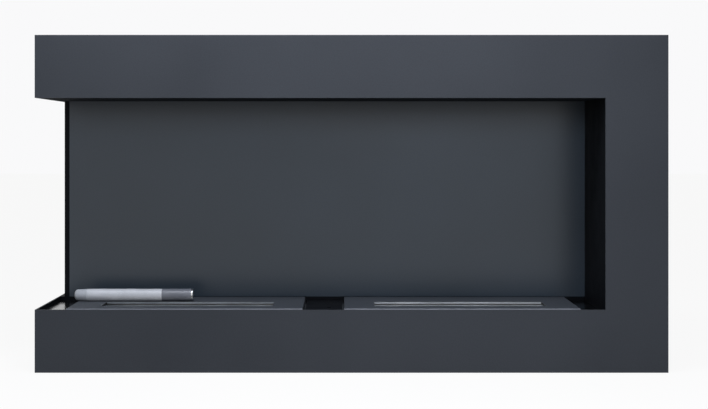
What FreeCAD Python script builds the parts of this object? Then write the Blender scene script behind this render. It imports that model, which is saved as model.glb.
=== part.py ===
import FreeCAD, Part
import Sketcher
import math
import os

# Corner fireplace with two slot burners, open at the front and at the left side.
# Millimetres. X runs to the right, Y to the back and Z up. The origin is at the middle of the base.

doc = FreeCAD.newDocument("corner_fireplace")

# Driving sizes, each written once
driving_sizes = [
    ("width", 1200, "front frame, overall"),
    ("height", 640, "front frame, overall"),
    ("depth", 270, "front face to wall"),
    ("face_bar", 119.4, "face width of the frame's three bars"),
    ("front_sheet", 2, "sheet of the frame, the left sides and the burner plates"),
    ("case_sheet", 1.5, "sheet of the case and of the firebox lining"),
    ("frame_fold", 25, "depth of the frame's folded outer edges"),
    ("frame_bend", 1.5, "outer radius of the frame's folds"),
    ("flange", 15, "hidden fixing flanges"),
    ("air_gap", 53.5, "air space between the firebox's back wall and the case"),
    ("tray_drop", 8, "floor of the tray below the frame's lower edge"),
    ("post_inset", 12, "post from the left outer face"),
    ("post_width", 9.6, "post, seen from the front"),
    ("support_width", 30, "flanges of the brackets under the tray"),
    ("wall_hole", 9, "diameter of the wall fixing holes"),
    ("wall_hole_across", 800, "wall fixing holes, centre to centre across"),
    ("wall_hole_up", 300, "wall fixing holes, centre to centre upwards"),
    ("left_margin", 59, "left burner plate from the left outer face"),
    ("right_margin", 46.6, "right burner plate from the firebox's right wall"),
    ("plate_spacing", 79, "gap between the two burner plates"),
    ("plate_back_gap", 25.5, "burner plate in front of the firebox's back wall"),
    ("plate_proud", 2.4, "burner plate above the frame's lower edge"),
    ("plate_gap", 0.5, "burner plate behind the tray's front edge"),
    ("plate_bend", 2, "outer radius of the plate's folds"),
    ("rest_gap", 0.3, "play under what is lifted out by hand"),
    ("slot_end", 59, "flame slot from each end of the plate"),
    ("slot_setback", 34, "flame slot behind the plate's front edge"),
    ("rim_wall", 1.5, "collar in the slot"),
    ("rim_drop", 3.8, "height of the collar"),
    ("rim_flange", 6, "collar's flange under the plate"),
    ("rim_flange_sheet", 1.2, "thickness of that flange"),
    ("groove", 2, "height of the space that the damper runs in"),
    ("damper_sheet", 1.4, "damper"),
    ("damper_lap", 2.5, "shut damper past each long edge of the slot"),
    ("damper_hidden", 0.5, "open damper behind the slot's far edge"),
    ("damper_play", 0.5, "damper to the bottom of its grooves"),
    ("damper_eye", 10, "diameter of the hole that a hook pulls at"),
    ("damper_eye_inset", 12, "that hole from the damper's front edge"),
    ("rail_gap", 0.5, "rail from the collar's flange"),
    ("rail_width", 12, "damper rail"),
    ("rail_groove", 8, "depth of the rail's groove"),
    ("deck_sheet", 1.2, "deck and tank"),
    ("deck_margin", 6, "deck and rails past the damper's path"),
    ("deck_gap", 7.5, "deck in front of the plate's rear fold"),
    ("neck_drop", 8, "neck of the deck under its top face"),
    ("tank_margin", 14, "tank wall outside the slot's edge"),
    ("tank_height", 68, "tank under the deck"),
    ("wool_gap", 2, "fibre block to the tank's walls"),
    ("wool_height", 50, "fibre block"),
    ("wool_round", 4, "rounded edges of the fibre block"),
    ("cutout_gap", 4, "tray cut-out round the deck"),
    ("rod_diameter", 24, "rod"),
    ("rod_wall", 2, "tube of the rod"),
    ("rod_start", 52.5, "rod's nose from the left outer face"),
    ("rod_clear", 2, "rod behind the slot's far edge"),
    ("nose_length", 25, "rod's nose"),
    ("nose_round", 6, "rounding of the nose"),
    ("tube_length", 148, "bright tube of the rod"),
    ("grip_length", 58, "dark grip of the rod"),
    ("ring_length", 4, "end ring of the rod"),
    ("ring_bevel", 1, "bevel of the end ring"),
    ("spigot", 12, "spigots that join the rod's pieces"),
    ("spigot_fit", 0.05, "radial play of those spigots"),
]

# Places and levels that follow from the driving sizes
derived_places = [
    ("left_face", "-Sizes.width / 2"),
    ("right_face", "Sizes.width / 2"),
    ("front_face", "-Sizes.depth / 2"),
    ("wall_face", "Sizes.depth / 2"),
    ("frame_back", "Places.front_face + Sizes.front_sheet"),
    ("rear_inside", "Places.wall_face - Sizes.case_sheet"),
    ("case_left", "Places.left_face + Sizes.front_sheet"),
    ("case_right", "Places.right_face - Sizes.front_sheet"),
    ("case_top", "Sizes.height - Sizes.front_sheet"),
    ("case_floor", "Sizes.front_sheet + Sizes.case_sheet"),
    ("lip", "Sizes.face_bar"),
    ("head", "Sizes.height - Sizes.face_bar"),
    ("fire_right", "Places.right_face - Sizes.face_bar"),
    ("fire_back", "Places.rear_inside - Sizes.air_gap - Sizes.case_sheet"),
    ("post_left", "Places.left_face + Sizes.post_inset"),
    ("post_right", "Places.post_left + Sizes.post_width"),
    ("tray_floor", "Places.lip - Sizes.tray_drop"),
    ("tray_under", "Places.tray_floor - Sizes.case_sheet"),
    ("plates_room", "Sizes.width - Sizes.face_bar - Sizes.left_margin - Sizes.right_margin"),
    ("plate_length", "(Places.plates_room - Sizes.plate_spacing) / 2"),
    ("burner_left", "Places.left_face + Sizes.left_margin + Places.plate_length / 2"),
    ("burner_right", "Places.burner_left + Places.plate_length + Sizes.plate_spacing"),
    ("plate_foot", "Places.tray_floor + Sizes.rest_gap"),
    ("plate_top", "Places.lip + Sizes.plate_proud"),
    ("plate_under", "Places.plate_top - Sizes.front_sheet"),
    ("plate_front", "Places.frame_back + Sizes.case_sheet + Sizes.plate_gap"),
    ("plate_back", "Places.fire_back - Sizes.plate_back_gap"),
    ("slot_half", "Places.plate_length / 2 - Sizes.slot_end"),
    ("slot_near", "Places.plate_front + Sizes.slot_setback"),
    ("deck_far", "Places.plate_back - Sizes.front_sheet - Sizes.deck_gap"),
    ("damper_back", "Places.deck_far - Sizes.deck_margin"),
    ("slot_and_damper", "Places.damper_back - Places.slot_near - Sizes.damper_hidden"),
    ("slot_width", "Places.slot_and_damper / 2 - Sizes.damper_lap"),
    ("slot_far", "Places.slot_near + Places.slot_width"),
    ("groove_top", "Places.plate_top - Sizes.rim_drop"),
    ("groove_floor", "Places.groove_top - Sizes.groove"),
    ("deck_under", "Places.groove_floor - Sizes.deck_sheet"),
    ("tank_foot", "Places.deck_under - Sizes.tank_height"),
    ("rail_inside", "Places.slot_half + Sizes.rim_wall + Sizes.rim_flange + Sizes.rail_gap"),
    ("rail_outside", "Places.rail_inside + Sizes.rail_width"),
    ("damper_front", "Places.slot_far + Sizes.damper_hidden"),
    ("deck_near", "Places.slot_near - Sizes.tank_margin"),
    ("cutout_half", "Places.rail_outside + Sizes.cutout_gap"),
    ("rod_radius", "Sizes.rod_diameter / 2"),
    ("rod_bore", "Places.rod_radius - Sizes.rod_wall"),
    ("rod_spigot", "Places.rod_bore - Sizes.spigot_fit"),
    ("rod_tube_start", "Sizes.nose_length"),
    ("rod_grip_start", "Places.rod_tube_start + Sizes.tube_length"),
    ("rod_ring_start", "Places.rod_grip_start + Sizes.grip_length"),
    ("rod_end", "Places.rod_ring_start + Sizes.ring_length"),
]

sizes = doc.addObject("Spreadsheet::Sheet", "Sizes")
for row, (alias, value, meaning) in enumerate(driving_sizes, start=1):
    sizes.set(f"A{row}", meaning)
    sizes.set(f"B{row}", str(value))
    sizes.setAlias(f"B{row}", alias)
doc.recompute()

places = doc.addObject("Spreadsheet::Sheet", "Places")
for row, (alias, formula) in enumerate(derived_places, start=1):
    places.set(f"A{row}", "=" + formula.replace("Places.", ""))
    places.setAlias(f"A{row}", alias)
    doc.recompute()

sub_parts = []


def new_body(label):
    """A sub-part: one solid whose label names its file."""
    body = doc.addObject("PartDesign::Body", label)
    body.Label = label
    sub_parts.append(body)
    return body


def new_sketch(body, name, plane, level):
    """A sketch on one of the body's own planes, shifted along that plane's axis to a level."""
    support = [part for part in body.Origin.OriginFeatures if part.Role == plane][0]
    sketch = body.newObject("Sketcher::SketchObject", name)
    sketch.AttachmentSupport = [(support, "")]
    sketch.MapMode = "FlatFace"
    # The XZ plane looks towards -Y, so its shift has the other sign
    sign = "-" if plane == "XZ_Plane" else ""
    sketch.setExpression("AttachmentOffset.Base.z", f"{sign}({level})")
    return sketch


def fix_point(sketch, geometry, point, start, across, up):
    """Ties a point of the sketch to two expressions, measured from the sketch's origin."""
    for kind, value, formula in (("DistanceX", start.x, across), ("DistanceY", start.y, up)):
        index = sketch.addConstraint(Sketcher.Constraint(kind, -1, 1, geometry, point, value))
        sketch.setExpression(f"Constraints[{index}]", formula)


def add_outline(sketch, corners):
    """A closed outline of straight edges, with each corner given as two expressions."""
    first = sketch.GeometryCount
    count = len(corners)
    turn = 2 * math.pi / count
    starts = [FreeCAD.Vector(math.cos(turn * i), math.sin(turn * i), 0) for i in range(count)]
    for i in range(count):
        sketch.addGeometry(Part.LineSegment(starts[i], starts[(i + 1) % count]), False)
    for i in range(count):
        following = first + (i + 1) % count
        sketch.addConstraint(Sketcher.Constraint("Coincident", first + i, 2, following, 1))
    for i, (across, up) in enumerate(corners):
        fix_point(sketch, first + i, 1, starts[i], across, up)


def add_rectangle(sketch, x0, x1, y0, y1):
    """A rectangle between two expressions across and two upwards."""
    add_outline(sketch, [(x0, y0), (x1, y0), (x1, y1), (x0, y1)])


def add_circle(sketch, diameter, across, up):
    """A circle with its diameter and centre given as expressions."""
    centre = FreeCAD.Vector(1, 1, 0)
    circle = sketch.addGeometry(Part.Circle(centre, FreeCAD.Vector(0, 0, 1), 1), False)
    index = sketch.addConstraint(Sketcher.Constraint("Diameter", circle, 2))
    sketch.setExpression(f"Constraints[{index}]", diameter)
    fix_point(sketch, circle, 3, centre, across, up)


def add_pad(body, sketch, length):
    """Thickens a sketch towards +X, +Y or +Z."""
    pad = body.newObject("PartDesign::Pad", sketch.Name + "_pad")
    pad.Profile = sketch
    pad.setExpression("Length", length)
    pad.Reversed = sketch.AttachmentSupport[0][0].Role == "XZ_Plane"
    doc.recompute()
    return pad


def add_pocket(body, sketch, depth, upwards=False):
    """Cuts a sketch into the body along -X, +Y or -Z, or the other way, and checks that it cut."""
    before = body.Shape.Volume
    pocket = body.newObject("PartDesign::Pocket", sketch.Name + "_pocket")
    pocket.Profile = sketch
    pocket.setExpression("Length", depth)
    pocket.Reversed = upwards
    doc.recompute()
    if body.Shape.Volume >= before:
        raise RuntimeError(f"{pocket.Name} cut nothing")
    return pocket


def finish_edges(body, base, kind, size, wanted):
    """Gives a fillet or a chamfer to the edges of a feature whose ends all pass the test."""
    names = []
    for index, edge in enumerate(base.Shape.Edges, start=1):
        if all(wanted(vertex.Point) for vertex in edge.Vertexes):
            names.append(f"Edge{index}")
    finish = body.newObject("PartDesign::" + kind, f"{base.Name}_{kind.lower()}")
    finish.Base = (base, names)
    finish.setExpression("Radius" if kind == "Fillet" else "Size", size)
    doc.recompute()


def add_section(label, plane, start, length, corners):
    """A folded sheet: one section drawn on a plane and carried along that plane's axis."""
    body = new_body(label)
    sketch = new_sketch(body, label + "_section", plane, start)
    add_outline(sketch, corners)
    add_pad(body, sketch, length)
    return body


def is_at(value, level):
    """True where a coordinate lies on a level."""
    return abs(value - level) < 1e-4


def make_front_fascia():
    """C-shaped front sheet with its top, right and bottom edges folded back."""
    body = new_body("front_fascia")
    face = new_sketch(body, "fascia_face", "XZ_Plane", "Places.front_face")
    add_outline(face, [
        ("Places.left_face", "0"),
        ("Places.right_face", "0"),
        ("Places.right_face", "Sizes.height"),
        ("Places.left_face", "Sizes.height"),
        ("Places.left_face", "Places.head"),
        ("Places.fire_right", "Places.head"),
        ("Places.fire_right", "Places.lip"),
        ("Places.left_face", "Places.lip"),
    ])
    add_pad(body, face, "Sizes.front_sheet")
    fold = new_sketch(body, "fascia_fold", "XZ_Plane", "Places.front_face")
    add_outline(fold, [
        ("Places.case_left", "0"),
        ("Places.right_face", "0"),
        ("Places.right_face", "Sizes.height"),
        ("Places.case_left", "Sizes.height"),
        ("Places.case_left", "Places.case_top"),
        ("Places.case_right", "Places.case_top"),
        ("Places.case_right", "Sizes.front_sheet"),
        ("Places.case_left", "Sizes.front_sheet"),
    ])
    folded = add_pad(body, fold, "Sizes.frame_fold")

    def on_outer_edge(point):
        return is_at(point.y, places.front_face) and (is_at(point.z, 0) or is_at(point.z, sizes.height))

    finish_edges(body, folded, "Fillet", "Sizes.frame_bend", on_outer_edge)


def make_left_sides():
    """Two flat sheets that close the left end of the base box and of the head box."""
    for label, foot, top in (
        ("left_lower_side", "0", "Places.lip"),
        ("left_upper_side", "Places.head", "Sizes.height"),
    ):
        body = new_body(label)
        face = new_sketch(body, label + "_face", "YZ_Plane", "Places.left_face")
        add_rectangle(face, "Places.frame_back", "Places.rear_inside", foot, top)
        add_pad(body, face, "Sizes.front_sheet")


def make_case():
    """Top, bottom and right sheets of the case, inside the frame's folded edges."""
    for label, foot in (
        ("bottom_panel", "Sizes.front_sheet"),
        ("top_panel", "Places.case_top - Sizes.case_sheet"),
    ):
        body = new_body(label)
        face = new_sketch(body, label + "_face", "XY_Plane", foot)
        near, far = "Places.frame_back", "Places.rear_inside"
        add_rectangle(face, "Places.case_left", "Places.case_right", near, far)
        add_pad(body, face, "Sizes.case_sheet")
    foot = "Places.case_floor"
    top = "Places.case_top - Sizes.case_sheet"
    web = "Places.case_right - Sizes.case_sheet"
    lap = "Places.case_right - Sizes.case_sheet - Sizes.flange"
    add_section("right_panel", "XZ_Plane", "Places.frame_back", "Places.rear_inside - Places.frame_back", [
        (lap, foot),
        ("Places.case_right", foot),
        ("Places.case_right", top),
        (lap, top),
        (lap, top + " - Sizes.case_sheet"),
        (web, top + " - Sizes.case_sheet"),
        (web, foot + " + Sizes.case_sheet"),
        (lap, foot + " + Sizes.case_sheet"),
    ])


def make_rear_panel():
    """Flat back with two fixing flanges inside the case and four wall fixing holes."""
    body = new_body("rear_panel")
    face = new_sketch(body, "rear_face", "XZ_Plane", "Places.rear_inside")
    add_rectangle(face, "Places.left_face", "Places.right_face", "0", "Sizes.height")
    add_pad(body, face, "Sizes.case_sheet")
    end = "Places.case_right - 2 * Sizes.case_sheet - Sizes.flange"
    for name, foot in (
        ("rear_lower_flange", "Places.case_floor"),
        ("rear_upper_flange", "Places.case_top - 2 * Sizes.case_sheet"),
    ):
        flange = new_sketch(body, name, "XZ_Plane", "Places.rear_inside - Sizes.flange")
        add_rectangle(flange, "Places.case_left", end, foot, f"{foot} + Sizes.case_sheet")
        add_pad(body, flange, "Sizes.flange")
    holes = new_sketch(body, "wall_holes", "XZ_Plane", "Places.rear_inside")
    for side in ("-", ""):
        for step in ("-", "+"):
            up = f"Sizes.height / 2 {step} Sizes.wall_hole_up / 2"
            add_circle(holes, "Sizes.wall_hole", f"{side}Sizes.wall_hole_across / 2", up)
    add_pocket(body, holes, "Sizes.case_sheet")


def make_firebox():
    """Back wall, right wall, ceiling and rear left post, each a folded sheet."""
    back = "Places.fire_back"
    back_web = "Places.fire_back + Sizes.case_sheet"
    back_lap = "Places.fire_back + Sizes.flange"
    span = "Places.fire_right - Places.post_right"
    add_section("inner_back_panel", "YZ_Plane", "Places.post_right", span, [
        (back, "Places.lip"),
        (back_lap, "Places.lip"),
        (back_lap, "Places.lip + Sizes.case_sheet"),
        (back_web, "Places.lip + Sizes.case_sheet"),
        (back_web, "Places.head - Sizes.case_sheet"),
        (back_lap, "Places.head - Sizes.case_sheet"),
        (back_lap, "Places.head"),
        (back, "Places.head"),
    ])
    wall = "Places.fire_right"
    wall_web = "Places.fire_right + Sizes.case_sheet"
    wall_lap = "Places.fire_right + Sizes.flange"
    add_section("inner_right_panel", "XY_Plane", "Places.lip", "Places.head - Places.lip", [
        (wall, "Places.frame_back"),
        (wall_lap, "Places.frame_back"),
        (wall_lap, "Places.frame_back + Sizes.case_sheet"),
        (wall_web, "Places.frame_back + Sizes.case_sheet"),
        (wall_web, "Places.rear_inside - Sizes.case_sheet"),
        (wall_lap, "Places.rear_inside - Sizes.case_sheet"),
        (wall_lap, "Places.rear_inside"),
        (wall, "Places.rear_inside"),
    ])
    ceiling_top = "Places.head + Sizes.case_sheet"
    ceiling_lap = "Places.head + Sizes.flange"
    add_section("ceiling_panel", "YZ_Plane", "Places.case_left", f"{wall_lap} - Places.case_left", [
        ("Places.frame_back", "Places.head"),
        ("Places.rear_inside", "Places.head"),
        ("Places.rear_inside", ceiling_lap),
        ("Places.rear_inside - Sizes.case_sheet", ceiling_lap),
        ("Places.rear_inside - Sizes.case_sheet", ceiling_top),
        ("Places.frame_back + Sizes.case_sheet", ceiling_top),
        ("Places.frame_back + Sizes.case_sheet", ceiling_lap),
        ("Places.frame_back", ceiling_lap),
    ])
    post_web = "Places.post_left + Sizes.case_sheet"
    post_lap = "Places.post_left + Sizes.flange"
    add_section("corner_post", "XY_Plane", "Places.lip", "Places.head - Places.lip", [
        ("Places.post_left", back),
        ("Places.post_right", back),
        ("Places.post_right", back_web),
        (post_web, back_web),
        (post_web, "Places.rear_inside - Sizes.case_sheet"),
        (post_lap, "Places.rear_inside - Sizes.case_sheet"),
        (post_lap, "Places.rear_inside"),
        ("Places.post_left", "Places.rear_inside"),
    ])


def make_floor_tray():
    """Flat floor sheet of the spill tray, with a cut-out for each burner."""
    body = new_body("floor_tray")
    outer_right = "Places.fire_right + Sizes.case_sheet"
    outer_back = "Places.fire_back + Sizes.case_sheet"
    sheet = new_sketch(body, "tray_sheet", "XY_Plane", "Places.tray_under")
    add_rectangle(sheet, "Places.case_left", outer_right, "Places.frame_back", outer_back)
    add_pad(body, sheet, "Sizes.case_sheet")
    cutouts = new_sketch(body, "tray_cutouts", "XY_Plane", "Places.tray_floor")
    for centre in ("Places.burner_left", "Places.burner_right"):
        near = "Places.deck_near - Sizes.cutout_gap"
        far = "Places.deck_far + Sizes.cutout_gap"
        add_rectangle(cutouts, f"{centre} - Places.cutout_half", f"{centre} + Places.cutout_half", near, far)
    add_pocket(body, cutouts, "Sizes.case_sheet")


def make_tray_edges():
    """Upstands round the tray. The rear and right ones are angles whose ledges carry the firebox's walls."""
    foot = "Places.tray_floor"
    ledge = "Places.lip - Sizes.case_sheet"
    inner_front = "Places.frame_back + Sizes.case_sheet"
    outer_right = "Places.fire_right + Sizes.case_sheet"
    outer_back = "Places.fire_back + Sizes.case_sheet"
    add_section("tray_edge_front", "YZ_Plane", "Places.case_left", f"{outer_right} - Places.case_left", [
        ("Places.frame_back", foot),
        (inner_front, foot),
        (inner_front, "Places.lip"),
        ("Places.frame_back", "Places.lip"),
    ])
    add_section("tray_edge_left", "XZ_Plane", inner_front, f"Places.fire_back - ({inner_front})", [
        ("Places.case_left", foot),
        ("Places.case_left + Sizes.case_sheet", foot),
        ("Places.case_left + Sizes.case_sheet", "Places.lip"),
        ("Places.case_left", "Places.lip"),
    ])
    add_section("tray_edge_right", "XZ_Plane", inner_front, f"Places.fire_back - ({inner_front})", [
        ("Places.fire_right", foot),
        (outer_right, foot),
        (outer_right, ledge),
        ("Places.fire_right + Sizes.flange", ledge),
        ("Places.fire_right + Sizes.flange", "Places.lip"),
        ("Places.fire_right", "Places.lip"),
    ])
    rear_length = "Places.fire_right + Sizes.flange - Places.case_left"
    add_section("tray_edge_rear", "YZ_Plane", "Places.case_left", rear_length, [
        ("Places.fire_back", foot),
        (outer_back, foot),
        (outer_back, ledge),
        ("Places.rear_inside", ledge),
        ("Places.rear_inside", "Places.lip"),
        ("Places.fire_back", "Places.lip"),
    ])


def make_tray_supports():
    """Channel brackets between the case floor and the tray, beside and between the cut-outs."""
    foot = "Places.case_floor"
    top = "Places.tray_under"
    cutout_1 = "Places.burner_left - Places.cutout_half"
    cutout_2 = "Places.burner_left + Places.cutout_half"
    cutout_3 = "Places.burner_right - Places.cutout_half"
    cutout_4 = "Places.burner_right + Places.cutout_half"
    for label, low, high in (
        ("tray_support_left", "Places.case_left", cutout_1),
        ("tray_support_middle", cutout_2, cutout_3),
        ("tray_support_right", cutout_4, "Places.fire_right"),
    ):
        web = f"(({low}) + ({high}) - Sizes.support_width) / 2"
        lap = f"(({low}) + ({high}) + Sizes.support_width) / 2"
        add_section(label, "XZ_Plane", "Places.plate_front", "Places.fire_back - Places.plate_front", [
            (web, foot),
            (lap, foot),
            (lap, f"{foot} + Sizes.case_sheet"),
            (f"{web} + Sizes.case_sheet", f"{foot} + Sizes.case_sheet"),
            (f"{web} + Sizes.case_sheet", f"{top} - Sizes.case_sheet"),
            (lap, f"{top} - Sizes.case_sheet"),
            (lap, top),
            (web, top),
        ])


def make_burner_plate(label):
    """Folded cover plate: a shallow lid with rounded folds and the flame slot's cut-out."""
    body = new_body(label)
    half = "Places.plate_length / 2"
    block = new_sketch(body, label + "_block", "XY_Plane", "Places.plate_foot")
    add_rectangle(block, f"-{half}", half, "Places.plate_front", "Places.plate_back")
    lid = add_pad(body, block, "Places.plate_top - Places.plate_foot")
    finish_edges(body, lid, "Fillet", "Sizes.plate_bend", lambda point: is_at(point.z, places.plate_top))
    hollow = new_sketch(body, label + "_hollow", "XY_Plane", "Places.plate_foot")
    inner_half = f"({half} - Sizes.front_sheet)"
    inner_front = "Places.plate_front + Sizes.front_sheet"
    inner_back = "Places.plate_back - Sizes.front_sheet"
    add_rectangle(hollow, f"-{inner_half}", inner_half, inner_front, inner_back)
    add_pocket(body, hollow, "Places.plate_under - Places.plate_foot", upwards=True)
    slot = new_sketch(body, label + "_slot", "XY_Plane", "Places.plate_top")
    add_slot(slot, "Sizes.rim_wall")
    add_pocket(body, slot, "Sizes.front_sheet")
    return body


def add_slot(sketch, margin):
    """The flame slot's rectangle, grown by a margin on every side."""
    side = f"(Places.slot_half + {margin})"
    add_rectangle(sketch, f"-{side}", side, f"Places.slot_near - {margin}", f"Places.slot_far + {margin}")


def make_slot_rim(label):
    """Steel collar that lines the slot, with a flange under the plate."""
    body = new_body(label)
    flange = new_sketch(body, label + "_flange", "XY_Plane", "Places.plate_under - Sizes.rim_flange_sheet")
    add_slot(flange, "(Sizes.rim_wall + Sizes.rim_flange)")
    add_pad(body, flange, "Sizes.rim_flange_sheet")
    collar = new_sketch(body, label + "_collar", "XY_Plane", "Places.groove_top")
    add_slot(collar, "Sizes.rim_wall")
    add_pad(body, collar, "Sizes.rim_drop")
    opening = new_sketch(body, label + "_opening", "XY_Plane", "Places.plate_top")
    add_slot(opening, "0")
    add_pocket(body, opening, "Sizes.rim_drop")
    return body


def make_damper_rail(label, side):
    """Grooved bar between plate and deck, at one end of the slot: side is -1 at the left."""
    deep = "(Places.rail_inside + Sizes.rail_groove)"
    corners = [
        ("Places.rail_inside", "Places.plate_under"),
        ("Places.rail_inside", "Places.groove_top"),
        (deep, "Places.groove_top"),
        (deep, "Places.groove_floor"),
        ("Places.rail_outside", "Places.groove_floor"),
        ("Places.rail_outside", "Places.plate_under"),
    ]
    near = "(Places.slot_near - Sizes.deck_margin)"
    section = [(f"{side} * {across}", up) for across, up in corners]
    return add_section(label, "XZ_Plane", near, f"Places.deck_far - {near}", section)


def make_damper(label):
    """Flat lid that runs in the rails, drawn open, behind the slot."""
    body = new_body(label)
    half = "(Places.rail_inside + Sizes.rail_groove - Sizes.damper_play)"
    play = "(Sizes.groove - Sizes.damper_sheet) / 2"
    face = new_sketch(body, label + "_face", "XY_Plane", f"Places.groove_floor + {play}")
    add_rectangle(face, f"-{half}", half, "Places.damper_front", "Places.damper_back")
    add_circle(face, "Sizes.damper_eye", "0", "Places.damper_front + Sizes.damper_eye_inset")
    add_pad(body, face, "Sizes.damper_sheet")
    return body


def make_burner_deck(label):
    """Top sheet of the tank, with a neck folded down under the slot."""
    body = new_body(label)
    face = new_sketch(body, label + "_face", "XY_Plane", "Places.deck_under")
    add_rectangle(face, "-Places.rail_outside", "Places.rail_outside", "Places.deck_near", "Places.deck_far")
    add_pad(body, face, "Sizes.deck_sheet")
    neck = new_sketch(body, label + "_neck", "XY_Plane", "Places.groove_floor - Sizes.neck_drop")
    add_slot(neck, "Sizes.deck_sheet")
    add_pad(body, neck, "Sizes.neck_drop")
    opening = new_sketch(body, label + "_opening", "XY_Plane", "Places.groove_floor")
    add_slot(opening, "0")
    add_pocket(body, opening, "Sizes.neck_drop")
    return body


def make_tank(label):
    """Open pan that hangs under the deck."""
    body = new_body(label)
    block = new_sketch(body, label + "_block", "XY_Plane", "Places.tank_foot")
    add_slot(block, "Sizes.tank_margin")
    add_pad(body, block, "Sizes.tank_height")
    hollow = new_sketch(body, label + "_hollow", "XY_Plane", "Places.deck_under")
    add_slot(hollow, "(Sizes.tank_margin - Sizes.deck_sheet)")
    add_pocket(body, hollow, "Sizes.tank_height - Sizes.deck_sheet")
    return body


def make_fuel_wool(label):
    """Block of ceramic fibre on the tank's floor."""
    body = new_body(label)
    block = new_sketch(body, label + "_block", "XY_Plane", "Places.tank_foot + Sizes.deck_sheet")
    add_slot(block, "(Sizes.tank_margin - Sizes.deck_sheet - Sizes.wool_gap)")
    pad = add_pad(body, block, "Sizes.wool_height")
    top = places.tank_foot + sizes.deck_sheet + sizes.wool_height
    finish_edges(body, pad, "Fillet", "Sizes.wool_round", lambda point: is_at(point.z, top))
    return body


def make_burners():
    """Two equal burners, each drawn about its own middle and then put in its place."""
    for side in ("left", "right"):
        pieces = [
            make_burner_plate(f"burner_plate_{side}"),
            make_slot_rim(f"slot_rim_{side}"),
            make_damper_rail(f"damper_rail_1_{side}", -1),
            make_damper_rail(f"damper_rail_2_{side}", 1),
            make_damper(f"damper_{side}"),
            make_burner_deck(f"burner_deck_{side}"),
            make_tank(f"tank_{side}"),
            make_fuel_wool(f"fuel_wool_{side}"),
        ]
        for piece in pieces:
            piece.setExpression("Placement.Base.x", f"Places.burner_{side}")


def make_turned(label, corners):
    """A turned piece of the rod: half its section, spun about the rod's axis."""
    body = new_body(label)
    section = new_sketch(body, label + "_section", "XY_Plane", "0")
    add_outline(section, corners)
    turned = body.newObject("PartDesign::Revolution", label + "_turn")
    turned.Profile = section
    turned.ReferenceAxis = (section, ["H_Axis"])
    turned.Angle = 360
    doc.recompute()
    body.setExpression("Placement.Base.x", "Places.left_face + Sizes.rod_start")
    body.setExpression("Placement.Base.y", "Places.slot_far + Sizes.rod_clear + Places.rod_radius")
    body.setExpression("Placement.Base.z", "Places.plate_top + Sizes.rest_gap + Places.rod_radius")
    return body, turned


def make_rod():
    """Loose rod in four turned pieces, joined by spigots, lying on the left burner plate."""
    radius = "Places.rod_radius"
    bore = "Places.rod_bore"
    spigot = "Places.rod_spigot"
    nose, turned_nose = make_turned("rod_nose", [
        ("0", "0"),
        ("Places.rod_tube_start + Sizes.spigot", "0"),
        ("Places.rod_tube_start + Sizes.spigot", spigot),
        ("Places.rod_tube_start", spigot),
        ("Places.rod_tube_start", radius),
        ("0", radius),
    ])

    def on_nose_end(point):
        return is_at(point.x, 0) and is_at(math.hypot(point.y, point.z), places.rod_radius)

    finish_edges(nose, turned_nose, "Fillet", "Sizes.nose_round", on_nose_end)
    make_turned("rod_body", [
        ("Places.rod_tube_start", bore),
        ("Places.rod_grip_start", bore),
        ("Places.rod_grip_start", radius),
        ("Places.rod_tube_start", radius),
    ])
    make_turned("rod_grip", [
        ("Places.rod_grip_start - Sizes.spigot", "0"),
        ("Places.rod_ring_start - Sizes.spigot", "0"),
        ("Places.rod_ring_start - Sizes.spigot", bore),
        ("Places.rod_ring_start", bore),
        ("Places.rod_ring_start", radius),
        ("Places.rod_grip_start", radius),
        ("Places.rod_grip_start", spigot),
        ("Places.rod_grip_start - Sizes.spigot", spigot),
    ])
    ring, turned_ring = make_turned("rod_end_ring", [
        ("Places.rod_ring_start - Sizes.spigot", "0"),
        ("Places.rod_end", "0"),
        ("Places.rod_end", radius),
        ("Places.rod_ring_start", radius),
        ("Places.rod_ring_start", spigot),
        ("Places.rod_ring_start - Sizes.spigot", spigot),
    ])

    def on_ring_end(point):
        return is_at(point.x, places.rod_end) and is_at(math.hypot(point.y, point.z), places.rod_radius)

    finish_edges(ring, turned_ring, "Chamfer", "Sizes.ring_bevel", on_ring_end)


make_front_fascia()
make_left_sides()
make_case()
make_rear_panel()
make_firebox()
make_floor_tray()
make_tray_edges()
make_tray_supports()
make_burners()
make_rod()
doc.recompute()

for item in doc.Objects:
    if "Invalid" in item.State or "Error" in item.State:
        raise RuntimeError(f"{item.Label} failed: {item.State}")
for part in sub_parts:
    if part.Shape.isNull() or not part.Shape.isValid() or len(part.Shape.Solids) != 1:
        raise RuntimeError(f"{part.Label} has no sound solid")

os.makedirs("parts", exist_ok=True)
for part in sub_parts:
    part.Shape.exportStep(f"parts/{part.Label}.step")
print(len(sub_parts), "sub-parts written")
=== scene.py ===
import bpy
import numpy as np
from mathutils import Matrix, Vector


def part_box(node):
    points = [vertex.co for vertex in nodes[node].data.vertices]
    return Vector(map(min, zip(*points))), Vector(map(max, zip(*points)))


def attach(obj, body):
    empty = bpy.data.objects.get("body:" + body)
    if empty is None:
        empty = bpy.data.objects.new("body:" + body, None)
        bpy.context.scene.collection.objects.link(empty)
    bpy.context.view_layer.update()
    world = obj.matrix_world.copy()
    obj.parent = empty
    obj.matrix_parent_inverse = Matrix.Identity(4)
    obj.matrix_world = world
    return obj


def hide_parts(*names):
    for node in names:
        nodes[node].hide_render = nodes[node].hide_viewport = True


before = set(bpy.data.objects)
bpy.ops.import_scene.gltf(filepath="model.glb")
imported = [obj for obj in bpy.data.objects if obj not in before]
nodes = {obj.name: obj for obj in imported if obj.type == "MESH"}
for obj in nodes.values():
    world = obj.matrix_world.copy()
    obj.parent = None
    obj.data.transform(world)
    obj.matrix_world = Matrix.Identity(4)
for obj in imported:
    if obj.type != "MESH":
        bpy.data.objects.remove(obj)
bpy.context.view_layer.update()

mm = 0.001
scene = bpy.context.scene
print("frame loaded with", len(nodes), "nodes")


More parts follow.
